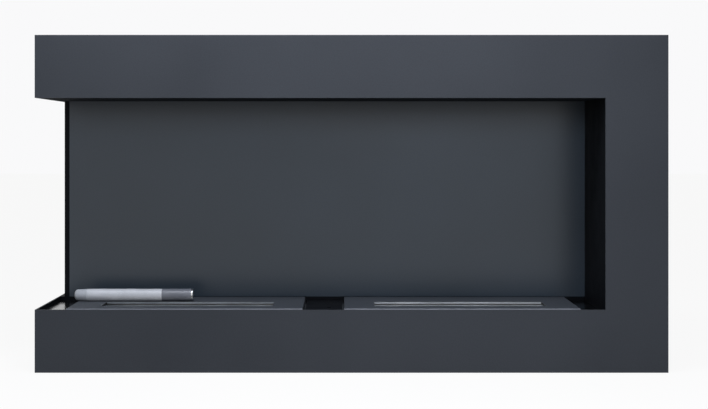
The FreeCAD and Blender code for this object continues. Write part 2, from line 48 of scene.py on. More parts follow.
# sRGB hex to linear: v / 12.92 for dark values, else ((v + 0.055) / 1.055) to the power 2.4
def hexColour(text):
    srgb = np.array([int(text[i:i + 2], 16) for i in (0, 2, 4)]) / 255
    linear = np.where(srgb <= 0.04045, srgb / 12.92, ((srgb + 0.055) / 1.055) ** 2.4)
    return (*linear.tolist(), 1.0)


# adds one node: settings go on the node, and each input is either linked or set
def addNode(tree, kind, settings=None, inputs=None):
    node = tree.nodes.new(kind)
    for name, value in (settings or {}).items():
        setattr(node, name, value)
    for name, value in (inputs or {}).items():
        if isinstance(value, bpy.types.NodeSocket):
            tree.links.new(value, node.inputs[name])
        else:
            node.inputs[name].default_value = value
    return node


# a fresh material with its constants set straight on the shader's sockets
def newMaterial(name, constants):
    material = bpy.data.materials.new(name)
    material.use_nodes = True
    tree = material.node_tree
    shader = tree.nodes["Principled BSDF"]
    for socket, value in constants.items():
        shader.inputs[socket].default_value = value
    place = addNode(tree, "ShaderNodeTexCoord").outputs["Object"]
    return material, tree, shader, place


# Stage: camera, floor, light

camera = {"place": (-0.0182, -2.614, 0.439), "sensor": 36.0, "lens": 66.6, "shift": (0.0169, -0.0897)}
cameraData = bpy.data.cameras.new("camera")
cameraData.sensor_width = camera["sensor"]
cameraData.lens = camera["lens"]
cameraData.shift_x, cameraData.shift_y = camera["shift"]
cameraObject = bpy.data.objects.new("camera", cameraData)
cameraObject.location = camera["place"]
cameraObject.rotation_euler = (np.pi / 2, 0, 0)  # level, straight at the front
scene.collection.objects.link(cameraObject)
scene.camera = cameraObject
scene.view_settings.view_transform = "Standard"

studio = {"backdrop": "f9f9fa", "ambient": "eef1f6", "ambientStrength": 0.29,
          "floorShown": "d6d6d6", "floorBounce": "b8b8b8", "floorWhite": "ffffff", "glowShare": 0.92,
          "floorHalf": 15.0}


# 1 where a ray comes from the camera, a reflection or a transmission, else 0
def seenDirectly(tree):
    path = addNode(tree, "ShaderNodeLightPath").outputs
    seen = addNode(tree, "ShaderNodeMath", {"operation": "MAXIMUM"},
                   {0: path["Is Camera Ray"], 1: path["Is Glossy Ray"]}).outputs[0]
    return addNode(tree, "ShaderNodeMath", {"operation": "MAXIMUM"},
                   {0: seen, 1: path["Is Transmission Ray"]}).outputs[0]


# the backdrop is what is seen, and a weaker ambient light is what reaches the object
world = bpy.data.worlds.new("studio")
scene.world = world
world.use_nodes = True
tree = world.node_tree
tree.nodes.clear()
shown = addNode(tree, "ShaderNodeBackground", None,
                {"Color": hexColour(studio["backdrop"]), "Strength": 1.0})
unseen = addNode(tree, "ShaderNodeBackground", None,
                 {"Color": hexColour(studio["ambient"]), "Strength": studio["ambientStrength"]})
mixed = addNode(tree, "ShaderNodeMixShader", None,
                {0: seenDirectly(tree), 1: unseen.outputs[0], 2: shown.outputs[0]})
addNode(tree, "ShaderNodeOutputWorld", None, {"Surface": mixed.outputs[0]})

# matt white floor paper: its own white is most of what is seen, and a share of lit paper keeps the shadow.
# Light that bounces to the object comes from a greyer paper, so that the floor doesn't light it from below.
floorMaterial = bpy.data.materials.new("matt white paper")
floorMaterial.use_nodes = True
tree = floorMaterial.node_tree
tree.nodes.clear()
seen = seenDirectly(tree)
paper = addNode(tree, "ShaderNodeMix", {"data_type": "RGBA"},
                {0: seen, 6: hexColour(studio["floorBounce"]), 7: hexColour(studio["floorShown"])})
paint = addNode(tree, "ShaderNodeBsdfDiffuse", None, {"Color": paper.outputs[2]})
glow = addNode(tree, "ShaderNodeEmission", None,
               {"Color": hexColour(studio["floorWhite"]), "Strength": 1.0})
share = addNode(tree, "ShaderNodeMath", {"operation": "MULTIPLY"}, {0: seen, 1: studio["glowShare"]})
mixed = addNode(tree, "ShaderNodeMixShader", None,
                {0: share.outputs[0], 1: paint.outputs[0], 2: glow.outputs[0]})
addNode(tree, "ShaderNodeOutputMaterial", None, {"Surface": mixed.outputs[0]})
half = studio["floorHalf"]
floorMesh = bpy.data.meshes.new("floor")
floorMesh.from_pydata([(-half, -half, 0), (half, -half, 0), (half, half, 0), (-half, half, 0)],
                      [], [(0, 1, 2, 3)])
floorMesh.materials.append(floorMaterial)
floor = bpy.data.objects.new("floor", floorMesh)
scene.collection.objects.link(floor)

# a soft box far in front and to the right, a small fill close to the firebox, a long box overhead and a
# weak one at the left. The two in front throw no glare, so that the lining shows no lamp shapes.
lamps = {
    "front": {"place": (1.5, -4.5, 1.05), "aim": (0, 0, 0.3), "size": (0.7, 0.8),
              "power": 37, "tint": "f3f5ff", "glare": False},
    "fill": {"place": (0.23, -1.27, 0.77), "aim": (0.08, 0, 0.4), "size": (0.5, 0.3),
             "power": 9.6, "tint": "f3f5ff", "glare": False},
    "overhead": {"place": (-0.2, -0.55, 1.32), "aim": (-0.2, -0.06, 0.12), "size": (1.1, 0.3),
                 "power": 14.2, "tint": "eff3ff", "glare": True},
    "left": {"place": (-2.2, -0.7, 0.7), "aim": (0, 0, 0.3), "size": (1.2, 1.2),
             "power": 2.2, "tint": "ffffff", "glare": True},
}
for name, lamp in lamps.items():
    light = bpy.data.lights.new(name, "AREA")
    light.shape = "RECTANGLE"
    light.size, light.size_y = lamp["size"]
    light.energy = lamp["power"]
    light.color = hexColour(lamp["tint"])[:3]
    lightObject = bpy.data.objects.new(name, light)
    lightObject.location = lamp["place"]
    lightObject.visible_camera = False
    lightObject.visible_glossy = lamp["glare"]
    towards = Vector(lamp["aim"]) - Vector(lamp["place"])
    lightObject.rotation_euler = towards.to_track_quat("-Z", "Y").to_euler()
    scene.collection.objects.link(lightObject)
print("stage set")


# Finishes

noiseLow, noiseHigh = 0.3, 0.7  # nearly all values of a noise texture lie between these
coatIor = 1.5  # powder coat, lacquer and enamel alike

# Powder coat, baked on sheet steel: a dull even colour, a fine pebbled skin and a soft broad sheen.
# The pebbles are really under 1 mm and are drawn coarser so that they show. Lacquer, a blasted skin and
# black oxide are made the same way, with smaller pebbles.
# the last three entries set the painted highlight along a plate's front fold
coatSkin = {"speckSpan": (0.35, 0.65), "speckDepth": 0.3, "toneSpan": (0.4, 0.9),
            "foldHighlightSpan": (0.3, 0.6), "foldHighlightLeast": 0.75, "foldHighlightBlend": 0.4 * mm}


def powderCoat(name, look):
    material, tree, shader, place = newMaterial(
        name, {"Specular IOR Level": look["specular"], "IOR": coatIor})
    cloud = addNode(tree, "ShaderNodeTexNoise", None,
                    {"Vector": place, "Scale": 1 / (look["cloudMm"] * mm), "Detail": 2.0}).outputs[0]
    pebble = addNode(tree, "ShaderNodeTexNoise", None,
                     {"Vector": place, "Scale": 1 / (look["pebbleMm"] * mm), "Detail": 3.0}).outputs[0]
    low, high = coatSkin["speckSpan"]
    speck = addNode(tree, "ShaderNodeMapRange", None,
                    {"Value": pebble, "From Min": low, "From Max": high,
                     "To Min": 0.0, "To Max": coatSkin["speckDepth"]}).outputs[0]
    tone = addNode(tree, "ShaderNodeMath", {"operation": "ADD"}, {0: cloud, 1: speck}).outputs[0]
    low, high = coatSkin["toneSpan"]
    tone = addNode(tree, "ShaderNodeMapRange", None,
                   {"Value": tone, "From Min": low, "From Max": high}).outputs[0]
    colour = addNode(tree, "ShaderNodeMix", {"data_type": "RGBA"},
                     {0: tone, 6: hexColour(look["dark"]), 7: hexColour(look["pale"])}).outputs[2]
    if "foldHighlight" in look:  # painted highlight: the coat is painted pale along the front fold, unevenly, standing in for light caught by the bend
        depth = addNode(tree, "ShaderNodeSeparateXYZ", None, {0: place}).outputs["Y"]
        foldHighlightMask = addNode(tree, "ShaderNodeMapRange", None,
                      {"Value": depth, "From Min": look["foldHighlightTo"],
                       "From Max": look["foldHighlightTo"] - coatSkin["foldHighlightBlend"]}).outputs[0]
        low, high = coatSkin["foldHighlightSpan"]
        foldHighlightPatches = addNode(tree, "ShaderNodeMapRange", None,
                       {"Value": cloud, "From Min": low, "From Max": high,
                        "To Min": coatSkin["foldHighlightLeast"], "To Max": 1.0}).outputs[0]
        foldHighlightMask = addNode(tree, "ShaderNodeMath", {"operation": "MULTIPLY"}, {0: foldHighlightMask, 1: foldHighlightPatches}).outputs[0]
        colour = addNode(tree, "ShaderNodeMix", {"data_type": "RGBA"},
                         {0: foldHighlightMask, 6: colour, 7: hexColour(look["foldHighlight"])}).outputs[2]
    tree.links.new(colour, shader.inputs["Base Color"])
    rough = addNode(tree, "ShaderNodeMapRange", None,
                    {"Value": cloud, "From Min": noiseLow, "From Max": noiseHigh,
                     "To Min": look["rough"][0], "To Max": look["rough"][1]}).outputs[0]
    tree.links.new(rough, shader.inputs["Roughness"])
    bump = addNode(tree, "ShaderNodeBump", None,
                   {"Height": pebble, "Strength": 1.0, "Distance": look["bumpMm"] * mm}).outputs[0]
    tree.links.new(bump, shader.inputs["Normal"])
    return material


# Brushed sheet or tube: metal with long fine scratches in one direction, which spread the highlight
# across them. Scratches are really 0.05 mm wide and are drawn coarser so that they show.
brushSkin = {"toneSpan": (0.7, 1.3), "endShadeBlend": 1.5 * mm, "rearBlend": 8 * mm, "coatBlend": 0.2 * mm,
             "coatedOrShadedRough": 0.5}


def brushedMetal(name, look):
    material, tree, shader, place = newMaterial(name, {"Metallic": 1.0})
    along = [1 / (look["acrossMm"] * mm)] * 3
    along[look["grainAxis"]] = 1 / (look["alongMm"] * mm)
    stretched = addNode(tree, "ShaderNodeMapping", None, {"Vector": place, "Scale": along}).outputs[0]
    scratch = addNode(tree, "ShaderNodeTexNoise", None,
                      {"Vector": stretched, "Scale": 1.0, "Detail": 4.0, "Roughness": 0.65}).outputs[0]
    stain = addNode(tree, "ShaderNodeTexNoise", None,
                    {"Vector": place, "Scale": 1 / (look["stainMm"] * mm), "Detail": 3.0}).outputs[0]
    tone = addNode(tree, "ShaderNodeMath", {"operation": "ADD"}, {0: scratch, 1: stain}).outputs[0]
    low, high = brushSkin["toneSpan"]
    tone = addNode(tree, "ShaderNodeMapRange", None,
                   {"Value": tone, "From Min": low, "From Max": high}).outputs[0]
    colour = addNode(tree, "ShaderNodeMix", {"data_type": "RGBA"},
                     {0: tone, 6: hexColour(look["dark"]), 7: hexColour(look["pale"])}).outputs[2]
    rough = addNode(tree, "ShaderNodeMapRange", None,
                    {"Value": scratch, "From Min": noiseLow, "From Max": noiseHigh,
                     "To Min": look["rough"][0], "To Max": look["rough"][1]}).outputs[0]
    if "coatAbove" in look:
        # the outer ends carry a painted shade, near black towards the rear, and are coated towards the front
        apart = addNode(tree, "ShaderNodeSeparateXYZ", None, {0: place}).outputs
        offset = addNode(tree, "ShaderNodeMath", {"operation": "SUBTRACT"},
                         {0: apart["X"], 1: look["endShadeMiddle"]}).outputs[0]
        offset = addNode(tree, "ShaderNodeMath", {"operation": "ABSOLUTE"}, {0: offset}).outputs[0]
        endShade = addNode(tree, "ShaderNodeMapRange", None,
                       {"Value": offset, "From Min": look["endShadeFrom"] - brushSkin["endShadeBlend"],
                        "From Max": look["endShadeFrom"]}).outputs[0]
        rearward = addNode(tree, "ShaderNodeMapRange", None,
                           {"Value": apart["Y"], "From Min": look["endShadeRear"] - brushSkin["rearBlend"],
                            "From Max": look["endShadeRear"]}).outputs[0]
        endColour = addNode(tree, "ShaderNodeMix", {"data_type": "RGBA"},
                            {0: rearward, 6: hexColour(look["coat"]), 7: hexColour(look["endShade"])}).outputs[2]
        colour = addNode(tree, "ShaderNodeMix", {"data_type": "RGBA"},
                         {0: endShade, 6: colour, 7: endColour}).outputs[2]
        # the plate's coat laps over the metal's top
        coated = addNode(tree, "ShaderNodeMapRange", None,
                         {"Value": apart["Z"], "From Min": look["coatAbove"] - brushSkin["coatBlend"],
                          "From Max": look["coatAbove"]}).outputs[0]
        colour = addNode(tree, "ShaderNodeMix", {"data_type": "RGBA"},
                         {0: coated, 6: colour, 7: hexColour(look["coat"])}).outputs[2]
        coatedOrShaded = addNode(tree, "ShaderNodeMath", {"operation": "MAXIMUM"}, {0: coated, 1: endShade}).outputs[0]
        rough = addNode(tree, "ShaderNodeMix", None,
                        {0: coatedOrShaded, 2: rough, 3: brushSkin["coatedOrShadedRough"]}).outputs[0]
        bare = addNode(tree, "ShaderNodeMath", {"operation": "SUBTRACT"}, {0: 1.0, 1: coatedOrShaded}).outputs[0]
        tree.links.new(bare, shader.inputs["Metallic"])
    tree.links.new(colour, shader.inputs["Base Color"])
    tree.links.new(rough, shader.inputs["Roughness"])
    bump = addNode(tree, "ShaderNodeBump", None,
                   {"Height": scratch, "Strength": 1.0, "Distance": look["bumpMm"] * mm}).outputs[0]
    tree.links.new(bump, shader.inputs["Normal"])
    return material


# Fired enamel on sheet steel: near black, glassy, with the slow ripple of a flowed glaze and a film
# of fine dust that dulls it in places.
def firedEnamel(name, look):
    material, tree, shader, place = newMaterial(
        name, {"Specular IOR Level": look["specular"], "IOR": coatIor})
    dust = addNode(tree, "ShaderNodeTexNoise", None,
                   {"Vector": place, "Scale": 1 / (look["dustMm"] * mm), "Detail": 5.0}).outputs[0]
    ripple = addNode(tree, "ShaderNodeTexNoise", None,
                     {"Vector": place, "Scale": 1 / (look["rippleMm"] * mm), "Detail": 1.0}).outputs[0]
    colour = addNode(tree, "ShaderNodeMix", {"data_type": "RGBA"},
                     {0: dust, 6: hexColour(look["dark"]), 7: hexColour(look["pale"])}).outputs[2]
    tree.links.new(colour, shader.inputs["Base Color"])
    rough = addNode(tree, "ShaderNodeMapRange", None,
                    {"Value": dust, "From Min": noiseLow, "From Max": noiseHigh,
                     "To Min": look["rough"][0], "To Max": look["rough"][1]}).outputs[0]
    tree.links.new(rough, shader.inputs["Roughness"])
    bump = addNode(tree, "ShaderNodeBump", None,
                   {"Height": ripple, "Strength": 1.0, "Distance": look["bumpMm"] * mm}).outputs[0]
    tree.links.new(bump, shader.inputs["Normal"])
    return material


# Hot-dip galvanised sheet: a mosaic of zinc crystals, each its own grey and its own dullness.
def zincSheet(name, look):
    material, tree, shader, place = newMaterial(name, {"Metallic": 1.0})
    crystal = addNode(tree, "ShaderNodeTexVoronoi", None,
                      {"Vector": place, "Scale": 1 / (look["crystalMm"] * mm)}).outputs["Color"]
    grey = addNode(tree, "ShaderNodeSeparateColor", None, {"Color": crystal}).outputs[0]
    colour = addNode(tree, "ShaderNodeMix", {"data_type": "RGBA"},
                     {0: grey, 6: hexColour(look["dark"]), 7: hexColour(look["pale"])}).outputs[2]
    tree.links.new(colour, shader.inputs["Base Color"])
    rough = addNode(tree, "ShaderNodeMapRange", None,
                    {"Value": grey, "To Min": look["rough"][0], "To Max": look["rough"][1]}).outputs[0]
    tree.links.new(rough, shader.inputs["Roughness"])
    return material


# Ceramic fibre blanket: matt off-white, felted from fine fibres that cast tiny shadows on each other; these
# shadows are painted shade, the colour darkening where the fibres sit lower.
# The fibres are really a few thousandths of 1 mm thick and are drawn coarser so that they show.
def fibreBlanket(name, look):
    material, tree, shader, place = newMaterial(name, {"Roughness": 0.95, "Specular IOR Level": 0.1})
    tuft = addNode(tree, "ShaderNodeTexNoise", None,
                   {"Vector": place, "Scale": 1 / (look["tuftMm"] * mm), "Detail": 3.0,
                    "Distortion": 2.0}).outputs[0]
    hair = addNode(tree, "ShaderNodeTexNoise", None,
                   {"Vector": place, "Scale": 1 / (look["fibreMm"] * mm), "Detail": 5.0,
                    "Distortion": 3.0}).outputs[0]
    height = addNode(tree, "ShaderNodeMath", {"operation": "ADD"}, {0: tuft, 1: hair}).outputs[0]
    low, high = look["toneSpan"]
    tone = addNode(tree, "ShaderNodeMapRange", None,
                   {"Value": height, "From Min": low, "From Max": high}).outputs[0]
    colour = addNode(tree, "ShaderNodeMix", {"data_type": "RGBA"},
                     {0: tone, 6: hexColour(look["dark"]), 7: hexColour(look["pale"])}).outputs[2]
    tree.links.new(colour, shader.inputs["Base Color"])
    bump = addNode(tree, "ShaderNodeBump", None,
                   {"Height": height, "Strength": 1.0, "Distance": look["bumpMm"] * mm}).outputs[0]
    tree.links.new(bump, shader.inputs["Normal"])
    return material


anthracite = powderCoat("anthracite powder coat", {
    "dark": "2e3135", "pale": "34373b", "cloudMm": 260, "pebbleMm": 2.6,
    "rough": (0.44, 0.54), "specular": 0.14, "bumpMm": 0.05})
# the lining's base colour has a painted blue cast, standing in for cool reflections in its gloss; the dark
# anthracite is the wall's own
liningCoat = powderCoat("anthracite lining coat", {
    "dark": "212a32", "pale": "28313a", "cloudMm": 320, "pebbleMm": 2.8,
    "rough": (0.28, 0.31), "specular": 0.54, "bumpMm": 0.012})
ceilingCoat = powderCoat("matt dark ceiling coat", {
    "dark": "1a1c1f", "pale": "202326", "cloudMm": 200, "pebbleMm": 2.8,
    "rough": (0.78, 0.86), "specular": 0.02, "bumpMm": 0.02})
sideCoat = powderCoat("matt anthracite side coat", {
    "dark": "2b2f33", "pale": "32363a", "cloudMm": 200, "pebbleMm": 2.6,
    "rough": (0.72, 0.82), "specular": 0.03, "bumpMm": 0.05})
# the plate coat carries a painted highlight, a pale uneven strip along its front fold
plateCoat = powderCoat("smooth anthracite plate coat", {
    "dark": "32363b", "pale": "383c41", "cloudMm": 180, "pebbleMm": 3.0,
    "rough": (0.5, 0.58), "specular": 0.2, "bumpMm": 0.015,
    "foldHighlight": "787b81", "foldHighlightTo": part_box("burner_plate_left")[0].y + 0.5 * mm})
caseCoat = powderCoat("matt anthracite case coat", {
    "dark": "33373a", "pale": "3a3e42", "cloudMm": 200, "pebbleMm": 3.0,
    "rough": (0.5, 0.62), "specular": 0.3, "bumpMm": 0.07})
trayEnamel = firedEnamel("gloss black tray enamel", {
    "dark": "050607", "pale": "0a0b0d", "dustMm": 25, "rippleMm": 60,
    "rough": (0.13, 0.2), "specular": 0.5, "bumpMm": 0.01})
wallEnamel = firedEnamel("satin black wall enamel", {
    "dark": "050608", "pale": "0b0d11", "dustMm": 60, "rippleMm": 90,
    "rough": (0.5, 0.62), "specular": 0.08, "bumpMm": 0.02})
zinc = zincSheet("galvanised sheet", {
    "dark": "8d9396", "pale": "b9bec0", "crystalMm": 14, "rough": (0.35, 0.55)})
sheetLook = {"grainAxis": 0, "acrossMm": 0.9, "alongMm": 70, "stainMm": 60,
             "rough": (0.26, 0.4), "bumpMm": 0.01}
stainless = brushedMetal("brushed stainless sheet", {**sheetLook, "dark": "999c9f", "pale": "cfd2d4"})
rimLow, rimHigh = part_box("slot_rim_left")
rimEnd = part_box("slot_rim_right")[1].x
# the collar's ends take a painted shade: near black and dull towards the rear, where the slot's ends lie in
# shade
collarLook = {
    **sheetLook, "rough": (0.28, 0.42), "coat": "35393d", "endShade": "040404",
    "coatAbove": rimHigh.z - 0.3 * mm, "endShadeRear": rimHigh.y - 30 * mm,
    "endShadeMiddle": (rimLow.x + rimEnd) / 2, "endShadeFrom": (rimEnd - rimLow.x) / 2 - 8 * mm}
# painted light: the right burner's collar and deck are paler copies of the left's steel, standing in for more
# light on the right slot
collarSteel = {
    "left": brushedMetal("collar steel painted shaded", {**collarLook, "dark": "8b939b", "pale": "b4bcc4"}),
    "right": brushedMetal("collar steel painted lit", {**collarLook, "dark": "c6ccd4", "pale": "edf3f9"})}
deckSteel = {
    "left": brushedMetal("deck sheet painted shaded", {**sheetLook, "dark": "8e959c", "pale": "bfc6cd"}),
    "right": brushedMetal("deck sheet painted lit", {**sheetLook, "dark": "c0c6cd", "pale": "e8eef4"})}
# the lid and its rails are painted dark, a painted shade for the lid's edge lying in shade deep in the slot
damperSteel = brushedMetal("lid steel painted dark", {
    "dark": "3c3b3a", "pale": "666462", "grainAxis": 0, "acrossMm": 1.2, "alongMm": 60, "stainMm": 35,
    "rough": (0.34, 0.5), "bumpMm": 0.01})
noseGrey = powderCoat("bead-blasted grey nose", {
    "dark": "8c9094", "pale": "9b9fa3", "cloudMm": 12, "pebbleMm": 1.2,
    "rough": (0.5, 0.6), "specular": 0.4, "bumpMm": 0.03})
tubeSteel = powderCoat("satin silver lacquer tube", {
    "dark": "9b9ea2", "pale": "adb0b3", "cloudMm": 40, "pebbleMm": 1.6,
    "rough": (0.34, 0.42), "specular": 0.5, "bumpMm": 0.01})
gripDark = powderCoat("satin grey lacquer grip", {
    "dark": "585b61", "pale": "62656b", "cloudMm": 30, "pebbleMm": 1.6,
    "rough": (0.36, 0.44), "specular": 0.5, "bumpMm": 0.01})
brightSteel = brushedMetal("polished steel ring", {
    "dark": "b9bcbe", "pale": "d9dbdc", "grainAxis": 1, "acrossMm": 1.0, "alongMm": 20, "stainMm": 30,
    "rough": (0.22, 0.3), "bumpMm": 0.004})
wool = fibreBlanket("ceramic fibre blanket", {
    "dark": "b8b2a6", "pale": "f0ede6", "toneSpan": (0.7, 1.25), "tuftMm": 9, "fibreMm": 1.6, "bumpMm": 0.9})
screwBlack = powderCoat("black oxide screw", {
    "dark": "121314", "pale": "1c1d1f", "cloudMm": 8, "pebbleMm": 1.2,
    "rough": (0.32, 0.42), "specular": 0.6, "bumpMm": 0.02})

finishes = {
    "front_fascia": anthracite, "left_lower_side": sideCoat, "left_upper_side": anthracite,
    "inner_back_panel": liningCoat, "ceiling_panel": ceilingCoat, "inner_right_panel": wallEnamel,
    "burner_plate_left": plateCoat, "burner_plate_right": plateCoat,
    "bottom_panel": caseCoat, "top_panel": caseCoat, "right_panel": caseCoat, "rear_panel": caseCoat,
    # the tray's edge upstands and the corner post are black enamel, dark pieces standing in for the shade on
    # these inner faces
    "floor_tray": trayEnamel, "tray_edge_front": wallEnamel, "tray_edge_left": wallEnamel,
    "tray_edge_right": wallEnamel, "tray_edge_rear": wallEnamel, "corner_post": wallEnamel,
    "tray_support_left": zinc, "tray_support_middle": zinc, "tray_support_right": zinc,
    "rod_nose": noseGrey, "rod_body": tubeSteel, "rod_grip": gripDark, "rod_end_ring": brightSteel,
}
for side in ("left", "right"):
    finishes.update({
        f"slot_rim_{side}": collarSteel[side], f"burner_deck_{side}": deckSteel[side],
        f"tank_{side}": stainless, f"fuel_wool_{side}": wool, f"damper_{side}": damperSteel,
        f"damper_rail_1_{side}": damperSteel, f"damper_rail_2_{side}": damperSteel})
for name, node in nodes.items():
    node.data.materials.clear()
    node.data.materials.append(finishes[name])
print("finishes given to", len(finishes), "nodes")


# Pieces


# rows of closed rings, the first and last row a single point each: quads join ring to ring, and a fan
# of triangles closes each end. Rings run anticlockwise seen from the last row, so faces point outwards.
# copies (count x 3) repeats the whole shape at those offsets, and sharp is the angle in degrees past
# which an edge is shaded sharp.
def ringMesh(name, rings, copies=((0, 0, 0),), sharp=35):
    rows, columns = rings.shape[:2]
    points = np.concatenate([rings[0, :1], rings[1:-1].reshape(-1, 3), rings[-1, :1]])
    ring = 1 + np.arange((rows - 2) * columns).reshape(rows - 2, columns)
    following = np.roll(ring, -1, axis=1)
    last = len(points) - 1
    quads = np.stack([ring[:-1], following[:-1], following[1:], ring[1:]], -1).reshape(-1, 4)
    first = np.stack([np.zeros_like(ring[0]), following[0], ring[0]], -1)
    closing = np.stack([np.full_like(ring[0], last), ring[-1], following[-1]], -1)
    offsets = np.asarray(copies, float)
    steps = np.arange(len(offsets))[:, None, None] * len(points)
    allPoints = (points[None] + offsets[:, None]).reshape(-1, 3)
    quads = (quads[None] + steps).reshape(-1, 4)
    fans = (np.concatenate([first, closing])[None] + steps).reshape(-1, 3)
    mesh = bpy.data.meshes.new(name)
    mesh.from_pydata(allPoints.tolist(), [], quads.tolist() + fans.tolist())
    mesh.polygons.foreach_set("use_smooth", np.ones(len(mesh.polygons), bool))
    mesh.set_sharp_from_angle(angle=np.radians(sharp))
    mesh.update()
    return mesh


# a grid whose rows and columns both close on themselves
def loopMesh(name, grid):
    index = np.arange(grid.shape[0] * grid.shape[1]).reshape(grid.shape[:2])
    ahead = np.roll(index, -1, axis=1)
    quads = np.stack([index, ahead, np.roll(ahead, -1, axis=0), np.roll(index, -1, axis=0)], -1)
    mesh = bpy.data.meshes.new(name)
    mesh.from_pydata(grid.reshape(-1, 3).tolist(), [], quads.reshape(-1, 4).tolist())
    mesh.update()
    return mesh


# links a mesh as a piece, dresses it, hangs it from its body, and hides the node it stands for
def addPiece(mesh, material, body, replaced=None):
    mesh.materials.append(material)
    piece = bpy.data.objects.new(mesh.name, mesh)
    scene.collection.objects.link(piece)
    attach(piece, body)
    if replaced:
        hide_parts(replaced)
    return piece


# Rod: a round nose, a tube, a grip and an end ring, in one line along X
rodLook = {"noseRound": 7 * mm, "noseTaper": 1.3 * mm, "softEdge": 0.5 * mm, "ringRound": 2 * mm,
           "columns": 96, "edgeRows": 14, "wallRows": 6, "faceRow": 0.5}
bodyLow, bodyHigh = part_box("rod_body")
rodRadius = (bodyHigh.z - bodyLow.z) / 2
rodAxis = ((bodyLow.y + bodyHigh.y) / 2, (bodyLow.z + bodyHigh.z) / 2)


# a profile of (distance along X, radius) carried round the rod's axis,
# y = axis + radius cos(turn), z = axis + radius sin(turn)
def turned(profile, start):
    columns = rodLook["columns"]
    turn = np.linspace(0, 2 * np.pi, columns, endpoint=False)
    along, radius = np.asarray(profile, float).T
    x = np.repeat((start + along)[:, None], columns, 1)
    y = rodAxis[0] + radius[:, None] * np.cos(turn)
    z = rodAxis[1] + radius[:, None] * np.sin(turn)
    return np.stack([x, y, z], -1)


# a quarter round of radius edge, from an end face out to the wall, as (along, radius) rows
def roundedEdge(outer, edge):
    angle = np.linspace(0, np.pi / 2, rodLook["edgeRows"])
    return np.stack([edge - edge * np.cos(angle), outer - edge + edge * np.sin(angle)], -1)


# a closed round bar from x = start to x = end, with its own rounding at each end and a thinner start
def roundBar(start, end, firstRound, lastRound, taper):
    length, thin = end - start, rodRadius - taper
    front = roundedEdge(thin, firstRound)
    rear = roundedEdge(rodRadius, lastRound)[::-1] * (-1, 1) + (length, 0)
    wall = np.stack([np.linspace(firstRound, length - lastRound, rodLook["wallRows"]),
                     np.linspace(thin, rodRadius, rodLook["wallRows"])], -1)[1:-1]
    inner = [(0, 0), (0, (thin - firstRound) * rodLook["faceRow"])]
    outer = [(length, (rodRadius - lastRound) * rodLook["faceRow"]), (length, 0)]
    return turned(np.concatenate([inner, front, wall, rear, outer]), start)


# the spigots inside are not drawn, so each piece runs from its neighbour's end
noseStart, bodyStart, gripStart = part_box("rod_nose")[0].x, bodyLow.x, bodyHigh.x
ringStart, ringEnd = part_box("rod_grip")[1].x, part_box("rod_end_ring")[1].x
soft, noTaper = rodLook["softEdge"], 0
rodPieces = {
    "rod_nose_turned": ((noseStart, bodyStart, rodLook["noseRound"], soft, rodLook["noseTaper"]),
                        noseGrey, "rod_nose_grey", "rod_nose"),
    "rod_tube_turned": ((bodyStart, gripStart, soft, soft, noTaper),
                        tubeSteel, "rod_steel", "rod_body"),
    "rod_grip_turned": ((gripStart, ringStart, soft, soft, noTaper),
                        gripDark, "rod_grip_dark", "rod_grip"),
    "rod_ring_turned": ((ringStart, ringEnd, soft, rodLook["ringRound"], noTaper),
                        brightSteel, "rod_bright", "rod_end_ring"),
}
for name, (bar, material, slot, replaced) in rodPieces.items():
    addPiece(ringMesh(name, roundBar(*bar)), material, "rod", replaced)
print("rod turned")

# Fuel wool: rings of a rounded rectangle, from the middle of the underside out, up the sides and in over
# the top. A sum of slow waves swells and dents the top. Each wave is sin(x a + y b + shift) times its
# weight, with a and b in radians per metre, and the broad one is a product of one wave in x and one in y.
woolLook = {"edge": 6 * mm, "sink": 2.4 * mm, "swell": 2.2 * mm, "squareness": 14, "topOnly": 4,
            "broadWave": ((190, 0.4), (260, 1.1)),
            "fineWaves": ((0.6, 410, 330, 0.0), (0.35, 830, -710, 2.0)),
            "rings": 26, "edgeRows": 6, "sideRows": 4, "columns": 220}


def woolBlock(low, high):
    rings, edge, power = woolLook["rings"], woolLook["edge"], woolLook["squareness"]
    sideRows = woolLook["sideRows"]
    halfX, halfY = (high.x - low.x) / 2, (high.y - low.y) / 2
    turn = np.linspace(0, 2 * np.pi, woolLook["columns"], endpoint=False)
    # outline: how far a ray from the middle reaches, (|cos / halfX|^p + |sin / halfY|^p)^(-1/p)
    reach = (np.abs(np.cos(turn) / halfX) ** power + np.abs(np.sin(turn) / halfY) ** power) ** (-1 / power)
    outX, outY = reach * np.cos(turn), reach * np.sin(turn)
    # (share of the outline, height) rows: underside, lower edge, side, upper edge, top
    inward = np.linspace(0, 1, rings)
    angle = np.linspace(0, np.pi / 2, woolLook["edgeRows"])
    shrink = edge / halfY
    share = np.concatenate([
        inward * (1 - shrink), 1 - shrink + shrink * np.sin(angle)[1:], np.ones(sideRows),
        1 - shrink + shrink * np.cos(angle)[1:], (1 - shrink) * (1 - inward[1:])])
    floorZ, topZ = low.z, high.z - woolLook["sink"]
    height = np.concatenate([
        np.full(rings, floorZ), floorZ + edge * (1 - np.cos(angle))[1:],
        np.linspace(floorZ + edge, topZ - edge, sideRows + 2)[1:-1],
        topZ - edge + edge * np.sin(angle)[1:], np.full(rings - 1, topZ)])
    x = (low.x + high.x) / 2 + share[:, None] * outX
    y = (low.y + high.y) / 2 + share[:, None] * outY
    (broadX, shiftX), (broadY, shiftY) = woolLook["broadWave"]
    wave = np.sin(x * broadX + shiftX) * np.sin(y * broadY + shiftY)
    for weight, perX, perY, shift in woolLook["fineWaves"]:
        wave = wave + weight * np.sin(x * perX + y * perY + shift)
    lifted = np.clip((height - floorZ) / (topZ - floorZ), 0, 1)[:, None] ** woolLook["topOnly"]
    z = height[:, None] + lifted * wave * woolLook["swell"] / 2
    return np.stack([x, y, z], -1)


